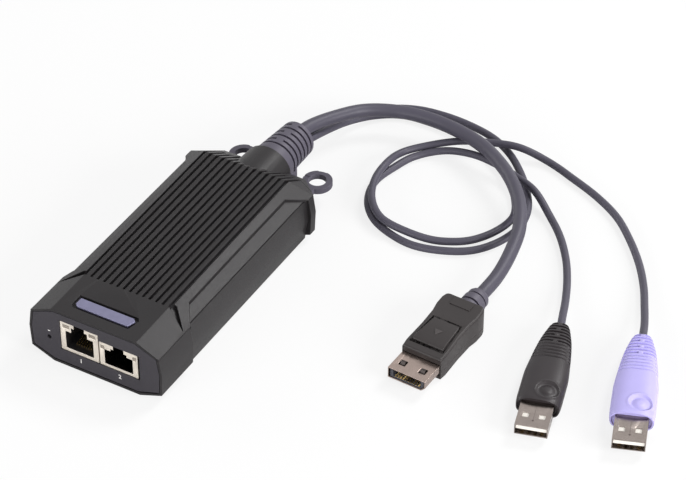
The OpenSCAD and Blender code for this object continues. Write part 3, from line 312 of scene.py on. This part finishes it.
VIDEO_ROUTE = [(0, 84, 15.9), (1, 93, 14.9), (5, 104.5, 13.1), (11.5, 116, 11.2), (22.5, 123.5, 10),
               (35.5, 126, 9.8), (48.5, 125, 9.8), (61.5, 121.5, 9.8), (73.5, 114.5, 9.8),
               (83.5, 106, 9.8), (92, 95.5, 9.4), (98, 83.5, 8.4), (101, 70.5, 7),
               (102.5, 57, 6.2), (102.1, 44, 6)]
PURPLE_ROUTE = [(1.6, 84, 11.6), (2.4, 91.5, 10.4), (3.6, 103, 7.6), (5.5, 114.5, 4.4),
                (11, 125.5, 2.1), (20, 132, 1.5), (32, 133.5, 1.5), (44, 132.5, 1.5),
                (55.5, 129.5, 1.5), (66.5, 124, 1.5), (76, 116.5, 1.5), (84, 107.5, 1.5),
                (89, 96.5, 1.5), (87, 85, 1.5), (80.5, 75, 1.5), (70, 69, 1.6), (58.5, 66.2, 3.4),
                (47, 67.3, 4.7), (38.5, 75, 5.1), (33.5, 86, 5.1), (32.2, 98, 4.9), (33, 109.5, 2.8),
                (40.3, 118.3, 3.2), (50.5, 124.5, 5), (61.5, 129.8, 5), (73, 133, 4.8),
                (85.5, 134, 1.8), (99, 129.3, 1.5), (112, 123.7, 1.5), (124, 116.3, 1.5),
                (134.5, 106, 1.5), (143.5, 95, 1.5), (150.5, 84, 1.6), (156, 73, 2.2),
                (160.4, 63.5, 3.2), (163.8, 54.5, 4.5)]
BLACK_ROUTE = [(-1.6, 84, 11.6), (-1, 92.5, 10.2), (0.2, 103.5, 7.4), (2.2, 114.5, 4.8),
               (5.5, 125, 2.4), (13.5, 133.5, 1.5), (24, 138.8, 1.5), (36, 140.5, 1.5),
               (48, 139.8, 1.5), (59.5, 137, 1.5), (69.5, 131.3, 1.5), (78, 123.5, 1.5),
               (85.5, 114.5, 1.5), (91.5, 104.5, 1.5), (94, 93, 1.5), (91.5, 81, 1.5), (85, 71, 1.5),
               (75, 65, 1.5), (63.5, 62.2, 1.5), (52, 64.2, 1.5), (42, 69.3, 1.5), (35, 78, 1.5),
               (32, 89.3, 1.5), (34, 100.5, 1.5), (38.2, 111.6, 1.5), (47.3, 118.8, 2.8),
               (59, 119.8, 4.8), (70, 118.6, 5), (81, 115.2, 5.1), (91, 111, 4.9), (101, 104, 1.8),
               (110, 95, 1.5), (118, 84, 1.5), (124, 73, 1.6), (129, 61.5, 2.4), (132.5, 52, 3.6),
               (135, 45.2, 4.5)]
VIDEO_TURN, BLACK_TURN, PURPLE_TURN = math.radians(-2.5), math.radians(16), math.radians(20.3)
VIDEO_D, THIN_D = 5.4, 3.0
STEPS_PER_POINT = 8
LEAD_ROUNDNESS = 6


def plug_place(route, turn):
    """The frame of a plug: its lead comes in at the origin and its mouth looks along -y."""
    end = route[-1]
    return Matrix.Translation((end[0], end[1], 0)) @ Matrix.Rotation(turn, 4, "Z")


VIDEO_PLACE = plug_place(VIDEO_ROUTE, VIDEO_TURN)
BLACK_PLACE = plug_place(BLACK_ROUTE, BLACK_TURN)
PURPLE_PLACE = plug_place(PURPLE_ROUTE, PURPLE_TURN)


def smooth_path(route, turn, floor):
    """A smooth line through the points of a route, in metres. One more point before it and one after
    it steer its ends."""
    last = Vector((math.sin(turn), -math.cos(turn), 0))
    pts = [Vector(p) for p in route]
    pts = [pts[0] - Vector((0, 1, 0)) * (pts[1] - pts[0]).length] + pts
    pts.append(pts[-1] + last * (pts[-1] - pts[-2]).length)
    line = []
    for i in range(1, len(pts) - 2):
        a, b, c, d = pts[i - 1:i + 3]
        for k in range(STEPS_PER_POINT):
            t = k / STEPS_PER_POINT
            p = 0.5 * (2 * b + (c - a) * t + (2 * a - 5 * b + 4 * c - d) * t * t
                       + (3 * b - a - 3 * c + d) * t ** 3)
            p.z = max(p.z, floor)
            line.append(p * MM)
    line.append(pts[-2] * MM)
    return line


def lead(node, route, turn, diameter):
    line = smooth_path(route, turn, diameter / 2)
    curve = bpy.data.curves.new(node + "_piece", "CURVE")
    curve.dimensions = "3D"
    curve.bevel_depth = diameter / 2 * MM
    curve.bevel_resolution = LEAD_ROUNDNESS
    curve.use_fill_caps = True
    spline = curve.splines.new("POLY")
    spline.points.add(len(line) - 1)
    for point, p in zip(spline.points, line):
        point.co = (p.x, p.y, p.z, 1)
    spline.use_smooth = True
    curve.materials.append(LEAD)
    obj = add_object(node + "_piece", curve)
    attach(obj, BODY)
    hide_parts(node)


# Shapes taken over from the CAD pieces, with their edges rounded. Lengths are in mm, angles in degrees

WELD = 0.002
FLAT = 0.6
CURVED_LIMIT = 28
BEVEL_STEPS = 2
COVER_RIM_Y, COVER_RIM_WIDTH = -58.9, 0.12
CREASE_X, CREASE_REACH, CREASE_END_Y, CREASE_WIDTH = 18.2, 0.4, -39, 0.3
HOOD_START_Y, HOOD_HALF = 49, 13
PLUG_SIDE_X, PLUG_FRONT_Y, PLUG_REAR_Y = 6.9, -41.9, -10.5
PLUG_TOP_Z, PLUG_TOP_WIDTH = 9.3, 0.9
PLUG_FOOT_Z, PLUG_FOOT_WIDTH = 0.3, 0.8


def finish_mesh(bm, name, material, body=BODY, smooth=None):
    mesh = bpy.data.meshes.new(name)
    bm.normal_update()
    bm.to_mesh(mesh)
    bm.free()
    for poly in mesh.polygons:
        poly.use_smooth = True
    if smooth:
        mesh.set_sharp_from_angle(angle=math.radians(smooth))
    mesh.materials.append(material)
    obj = add_object(name, mesh)
    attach(obj, body)
    return obj


def stand_for(node):
    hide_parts(node)


def rounded(node, width, rule=None, body=BODY, angle=28, smooth=32, curved=None):
    """A copy of a CAD piece whose edges are rounded where they turn by more than angle. rule(middle)
    may give an edge its own width. curved(middle) says where the piece is a curved face made of flats,
    whose steps stay soft."""
    bm = bmesh.new()
    bm.from_mesh(nodes[node].data)
    bmesh.ops.remove_doubles(bm, verts=bm.verts, dist=WELD * MM)
    bmesh.ops.dissolve_limit(bm, angle_limit=math.radians(FLAT), verts=bm.verts, edges=bm.edges)
    layer = bm.edges.layers.float.new("bevel_weight_edge")
    widths = {}
    for edge in bm.edges:
        if len(edge.link_faces) != 2:
            continue
        a, b = (v.co / MM for v in edge.verts)
        middle = (a + b) / 2
        turn = math.degrees(edge.calc_face_angle(0))
        soft = curved is not None and curved(middle)
        edge.smooth = turn < (CURVED_LIMIT if soft else smooth)
        if turn >= (CURVED_LIMIT if soft else angle):
            widths[edge] = (rule and rule(middle)) or width
    most = max(widths.values())
    for edge, value in widths.items():
        edge[layer] = value / most
    obj = finish_mesh(bm, node + "_piece", LOOKS[node], body)
    stand_for(node)
    mod = obj.modifiers.new("edges", "BEVEL")
    mod.limit_method = "WEIGHT"
    mod.width = most * MM
    mod.segments = BEVEL_STEPS
    mod.use_clamp_overlap = False
    mod.miter_outer = "MITER_ARC"
    mod.harden_normals = True


def hood(middle):
    return middle.y > HOOD_START_Y and abs(middle.x) < HOOD_HALF


def cover_edges(middle):
    """The thin front rim is nearly sharp, and the crease along the front of the top is wide."""
    if middle.y < COVER_RIM_Y:
        return COVER_RIM_WIDTH
    if abs(abs(middle.x) - CREASE_X) < CREASE_REACH and middle.y < CREASE_END_Y:
        return CREASE_WIDTH
    return None


def plug_edges(middle):
    """The outer edges of the top of the video plug's housing and the edges of its foot are wide."""
    local = VIDEO_PLACE.inverted() @ middle
    outer = abs(local.x) > PLUG_SIDE_X or local.y < PLUG_FRONT_Y or local.y > PLUG_REAR_Y
    if local.z > PLUG_TOP_Z and outer:
        return PLUG_TOP_WIDTH
    if local.z < PLUG_FOOT_Z:
        return PLUG_FOOT_WIDTH
    return None


rounded("top_cover", 0.16, cover_edges, angle=9, smooth=9, curved=hood)
rounded("bottom_cover", 0.16, cover_edges)
rounded("name_plate", 0.2)
rounded("jack_1_shield", 0.08)
rounded("jack_2_shield", 0.08)
rounded("strain_relief", 0.16, smooth=40)
rounded("dp_boot", 0.2, angle=40)
rounded("dp_upper_housing", 0.18, plug_edges)
rounded("dp_lower_housing", 0.18, plug_edges)
rounded("dp_latch_button", 0.35, body="latch_button")
rounded("dp_shell", 0.1)
rounded("usb_black_shell", 0.12)
rounded("usb_purple_shell", 0.12)


# Grips of the data plugs, in mm. A run is a place along the grip, from its lead to its mouth

GRIP_LENGTH, GRIP_WIDTH, GRIP_HEIGHT = 45.2, 16.4, 9.0
PLUG_AXIS_Z = 4.5
GRIP_SIDES = 132
GRIP_SQUARENESS = 0.76
FINE_STEP, WIDE_STEP = 0.12, 0.25
GROOVED_RUN, MOUTH_RUN = 22.2, GRIP_LENGTH - 1
WIDTH_SHARES = [(0, 0.26), (0.012, 0.37), (0.03, 0.44), (0.08, 0.53), (0.24, 0.74), (0.46, 0.9),
                (0.68, 1.0), (0.9, 1.0), (0.97, 0.985), (1, 0.955)]
HEIGHT_SHARES = [(0, 0.42), (0.012, 0.52), (0.03, 0.6), (0.08, 0.69), (0.24, 0.83), (0.46, 0.94),
                 (0.68, 1.0), (0.9, 1.0), (0.97, 0.985), (1, 0.94)]
GROOVE_COUNT, GROOVE_FIRST, GROOVE_PITCH = 12, 1.5, 1.8
DEEP_GROOVES, DEEP_CUT, SHALLOW_CUT = 7, 0.85, 0.5
GROOVE_HALF, GROOVE_WALL = 0.55, 0.24
SPINE_HALF, SPINE_WALL = 0.75, 0.3
DISH_RUN, DISH_X, DISH_R, DISH_REACH = 0.87 * GRIP_LENGTH, 2.4, 4.5, 1.0
RIM_SPREAD, RIM_RISE = 0.4, 0.24
BOWL_INSET, BOWL_DEPTH = 0.3, 0.85
SWELL_R, SWELL_RISE = 2.4, 0.65
SHELL_WIDTH, SHELL_HEIGHT, SHELL_GAP = 12.0, 4.5, 0.08
MOUTH_RIM, MOUTH_WALL = (0.93, 0.9), (0.91, 0.87)
MOUTH_DEPTH, SHELL_HOLE_DEPTH = 0.7, 5.5
GRIP_SHARP = 75


def share_at(table, s):
    """Smooth value between the points of a table of shares."""
    xs = [p[0] for p in table]
    ys = [p[1] for p in table]
    slopes = [(ys[i + 1] - ys[i]) / (xs[i + 1] - xs[i]) for i in range(len(xs) - 1)]
    tangents = [slopes[0]]
    for a, b in zip(slopes, slopes[1:]):
        tangents.append(0 if a * b <= 0 else 2 * a * b / (a + b))
    tangents.append(slopes[-1])
    i = max(k for k in range(len(xs) - 1) if s >= xs[k] or k == 0)
    h = xs[i + 1] - xs[i]
    t = min(1, max(0, (s - xs[i]) / h))
    return ((2 * t ** 3 - 3 * t * t + 1) * ys[i] + (t ** 3 - 2 * t * t + t) * h * tangents[i]
            + (3 * t * t - 2 * t ** 3) * ys[i + 1] + (t ** 3 - t * t) * h * tangents[i + 1])


def groove_depth(run, x):
    """Depth of the grooves at a run. Every other one of the deep grooves stops at the spine."""
    depth = 0
    for i in range(GROOVE_COUNT):
        away = abs(run - (GROOVE_FIRST + GROOVE_PITCH * i))
        split = i < DEEP_GROOVES and i % 2 == 0
        if away > GROOVE_HALF or (split and abs(x) < SPINE_HALF):
            continue
        edge = min(1, (GROOVE_HALF - away) / GROOVE_WALL)
        cut = (DEEP_CUT if i < DEEP_GROOVES else SHALLOW_CUT) * edge * edge * (3 - 2 * edge)
        if split:
            cut *= min(1, (abs(x) - SPINE_HALF) / SPINE_WALL)
        depth = max(depth, cut)
    return depth


def dish_height(run, x):
    """Height of the thumb dish: a raised rim, a bowl and a swell in its middle."""
    r = math.hypot(x - DISH_X, run - DISH_RUN)
    if r >= DISH_R + DISH_REACH:
        return 0
    rim = math.exp(-((r - DISH_R) / RIM_SPREAD) ** 2) * RIM_RISE
    bowl = max(0, 1 - (r / (DISH_R - BOWL_INSET)) ** 8)
    swell = math.exp(-(r / SWELL_R) ** 4) * SWELL_RISE
    return rim - max(0, BOWL_DEPTH * bowl - swell)


def grip_runs():
    runs = [0.0]
    while runs[-1] < GRIP_LENGTH - 0.01:
        plain = GROOVED_RUN <= runs[-1] < MOUTH_RUN
        runs.append(min(GRIP_LENGTH, runs[-1] + (WIDE_STEP if plain else FINE_STEP)))
    return runs


def grip_ring(run):
    """Points round the grip at a run, as pairs across and up from its axis."""
    half_w = GRIP_WIDTH / 2 * share_at(WIDTH_SHARES, run / GRIP_LENGTH)
    half_h = GRIP_HEIGHT / 2 * share_at(HEIGHT_SHARES, run / GRIP_LENGTH)
    ring = []
    for k in range(GRIP_SIDES):
        a = 2 * math.pi * k / GRIP_SIDES
        c, q = math.cos(a), math.sin(a)
        x = half_w * math.copysign(abs(c) ** GRIP_SQUARENESS, c)
        z = half_h * math.copysign(abs(q) ** GRIP_SQUARENESS, q)
        cut = groove_depth(run, x)
        if cut:
            size = math.hypot(x, z)
            x *= 1 - cut / size
            z *= 1 - cut / size
        if q > 0:
            z += dish_height(run, x)
        ring.append((x, z))
    return ring


def grip(node, place):
    bm = bmesh.new()

    def ring_at(run, points):
        return [bm.verts.new(place @ Vector((x, -run, PLUG_AXIS_Z + z)) * MM) for x, z in points]

    def join(a, b):
        for k in range(GRIP_SIDES):
            j = (k + 1) % GRIP_SIDES
            bm.faces.new((a[k], b[k], b[j], a[j]))

    runs = grip_runs()
    rings = [ring_at(run, grip_ring(run)) for run in runs]
    # The mouth: a rim, then a shallow recess round the shell, then the hole that holds the shell
    mouth = grip_ring(runs[-1])
    half_w, half_h = SHELL_WIDTH / 2 + SHELL_GAP, SHELL_HEIGHT / 2 + SHELL_GAP
    scales = [1 / max(abs(x) / half_w, abs(z) / half_h) for x, z in mouth]
    hole = [(x * scale, z * scale) for (x, z), scale in zip(mouth, scales)]
    floor = GRIP_LENGTH - MOUTH_DEPTH
    rings.append(ring_at(GRIP_LENGTH, [(x * MOUTH_RIM[0], z * MOUTH_RIM[1]) for x, z in mouth]))
    rings.append(ring_at(floor, [(x * MOUTH_WALL[0], z * MOUTH_WALL[1]) for x, z in mouth]))
    rings.append(ring_at(floor, hole))
    rings.append(ring_at(floor - SHELL_HOLE_DEPTH, hole))
    for a, b in zip(rings, rings[1:]):
        join(a, b)
    bm.faces.new(rings[0])
    bm.faces.new(rings[-1])
    bmesh.ops.recalc_face_normals(bm, faces=bm.faces)
    obj = finish_mesh(bm, node + "_piece", LOOKS[node], smooth=GRIP_SHARP)
    stand_for(node)


grip("usb_black_grip", BLACK_PLACE)
grip("usb_purple_grip", PURPLE_PLACE)

lead("dp_cable", VIDEO_ROUTE, VIDEO_TURN, VIDEO_D)
lead("usb_black_cable", BLACK_ROUTE, BLACK_TURN, THIN_D)
lead("usb_purple_cable", PURPLE_ROUTE, PURPLE_TURN, THIN_D)


# Small marks, in mm: printed numbers, moulded marks, and the seams and crimps of the data plug shells,
# drawn as thin dark strips that are painted shade in place of their gaps and holes

PANEL_FRONT_Y = -59.0
INK_THICKNESS, INK_SWELL = 0.01, 0.04
MARK_SINK, MARK_EDGE, MARK_SHARP = 0.12, 0.04, 40
MARK_ROWS = 8
ABOVE_ALL = 30
SHELL_REAR, SHELL_FRONT = -45.4, -57.3
SEAM_HALF, SEAM_PROUD = 0.07, 0.012
CRIMP_R, CRIMP_PROUD, CRIMP_INSET = 0.42, 0.014, 3
CRIMP_ROWS, CRIMP_TIP = 12, 0.03


def printed(name, text, x, z, size):
    curve = bpy.data.curves.new(name, "FONT")
    curve.body = text
    curve.size = size * MM
    curve.align_x = "CENTER"
    curve.align_y = "CENTER"
    curve.extrude = INK_THICKNESS * MM
    curve.offset = INK_SWELL * MM
    curve.materials.append(INK)
    obj = add_object(name, curve)
    place = Matrix.Translation((x * MM, (PANEL_FRONT_Y - INK_THICKNESS) * MM, z * MM))
    obj.matrix_world = place @ Matrix.Rotation(math.radians(90), 4, "X")
    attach(obj, BODY)


printed("number_1", "1", -6.5, 5.0, 2.6)
printed("number_2", "2", 10.3, 5.0, 2.6)
printed("reset_tick", "-", -19.9, 14.3, 3.4)


def on_top(name, node, place, rows, proud, material, body=BODY, across=8):
    """A thin mark that follows the top of a CAD piece. A row is its place along and its half width."""
    tree = BVHTree.FromPolygons([v.co for v in nodes[node].data.vertices],
                                [p.vertices for p in nodes[node].data.polygons])
    bm = bmesh.new()

    def sheet(offset):
        """One skin of the mark; gives the points round its border."""
        grid = []
        for y, half in rows:
            line = []
            for k in range(across + 1):
                at = place @ Vector((half * (2 * k / across - 1), y, ABOVE_ALL))
                hit = tree.ray_cast(at * MM, Vector((0, 0, -1)))[0]
                line.append(bm.verts.new(hit + Vector((0, 0, offset * MM))))
            grid.append(line)
        for a, b in zip(grid, grid[1:]):
            for k in range(across):
                bm.faces.new((a[k], b[k], b[k + 1], a[k + 1]))
        left, right = [line[0] for line in grid], [line[-1] for line in grid]
        return grid[0][:-1] + right[:-1] + grid[-1][:0:-1] + left[:0:-1]

    upper, lower = sheet(proud), sheet(-MARK_SINK)
    count = len(upper)
    for k in range(count):
        j = (k + 1) % count
        bm.faces.new((upper[k], lower[k], lower[j], upper[j]))
    bmesh.ops.recalc_face_normals(bm, faces=bm.faces)
    obj = finish_mesh(bm, name, material, body, MARK_SHARP)
    mod = obj.modifiers.new("edges", "BEVEL")
    mod.width = MARK_EDGE * MM
    mod.segments = BEVEL_STEPS


def taper(start, stop, half_start, half_stop):
    """Rows of a mark that runs from start to stop."""
    steps = [k / MARK_ROWS for k in range(MARK_ROWS + 1)]
    return [(start + (stop - start) * t, half_start + (half_stop - half_start) * t) for t in steps]


on_top("button_arrow", "dp_latch_button", VIDEO_PLACE, taper(-29.6, -32.6, 1.7, 0.05), 0.2, PLUG_MARK,
       "latch_button")
on_top("rear_mark", "dp_upper_housing", VIDEO_PLACE, taper(-11.3, -15.3, 4.2, 4.2), 0.3, PLUG)

crimp_y = SHELL_FRONT + CRIMP_INSET
seam = taper(SHELL_REAR - 0.2, crimp_y, SEAM_HALF, SEAM_HALF)
angles = [math.pi * k / CRIMP_ROWS for k in range(CRIMP_ROWS + 1)]
crimp = [(crimp_y + CRIMP_R * math.cos(a), max(CRIMP_TIP, CRIMP_R * math.sin(a))) for a in angles]
# The seam and crimp marks are thin dark sheets laid proud on each shell: painted shade where the shell
# has a gap and holes
for colour, plug in (("black", BLACK_PLACE), ("purple", PURPLE_PLACE)):
    shell = "usb_" + colour + "_shell"
    on_top(shell + "_seam", shell, plug, seam, SEAM_PROUD, SEAM_SHADE, across=2)
    on_top(shell + "_crimp", shell, plug, crimp, CRIMP_PROUD, SEAM_SHADE)
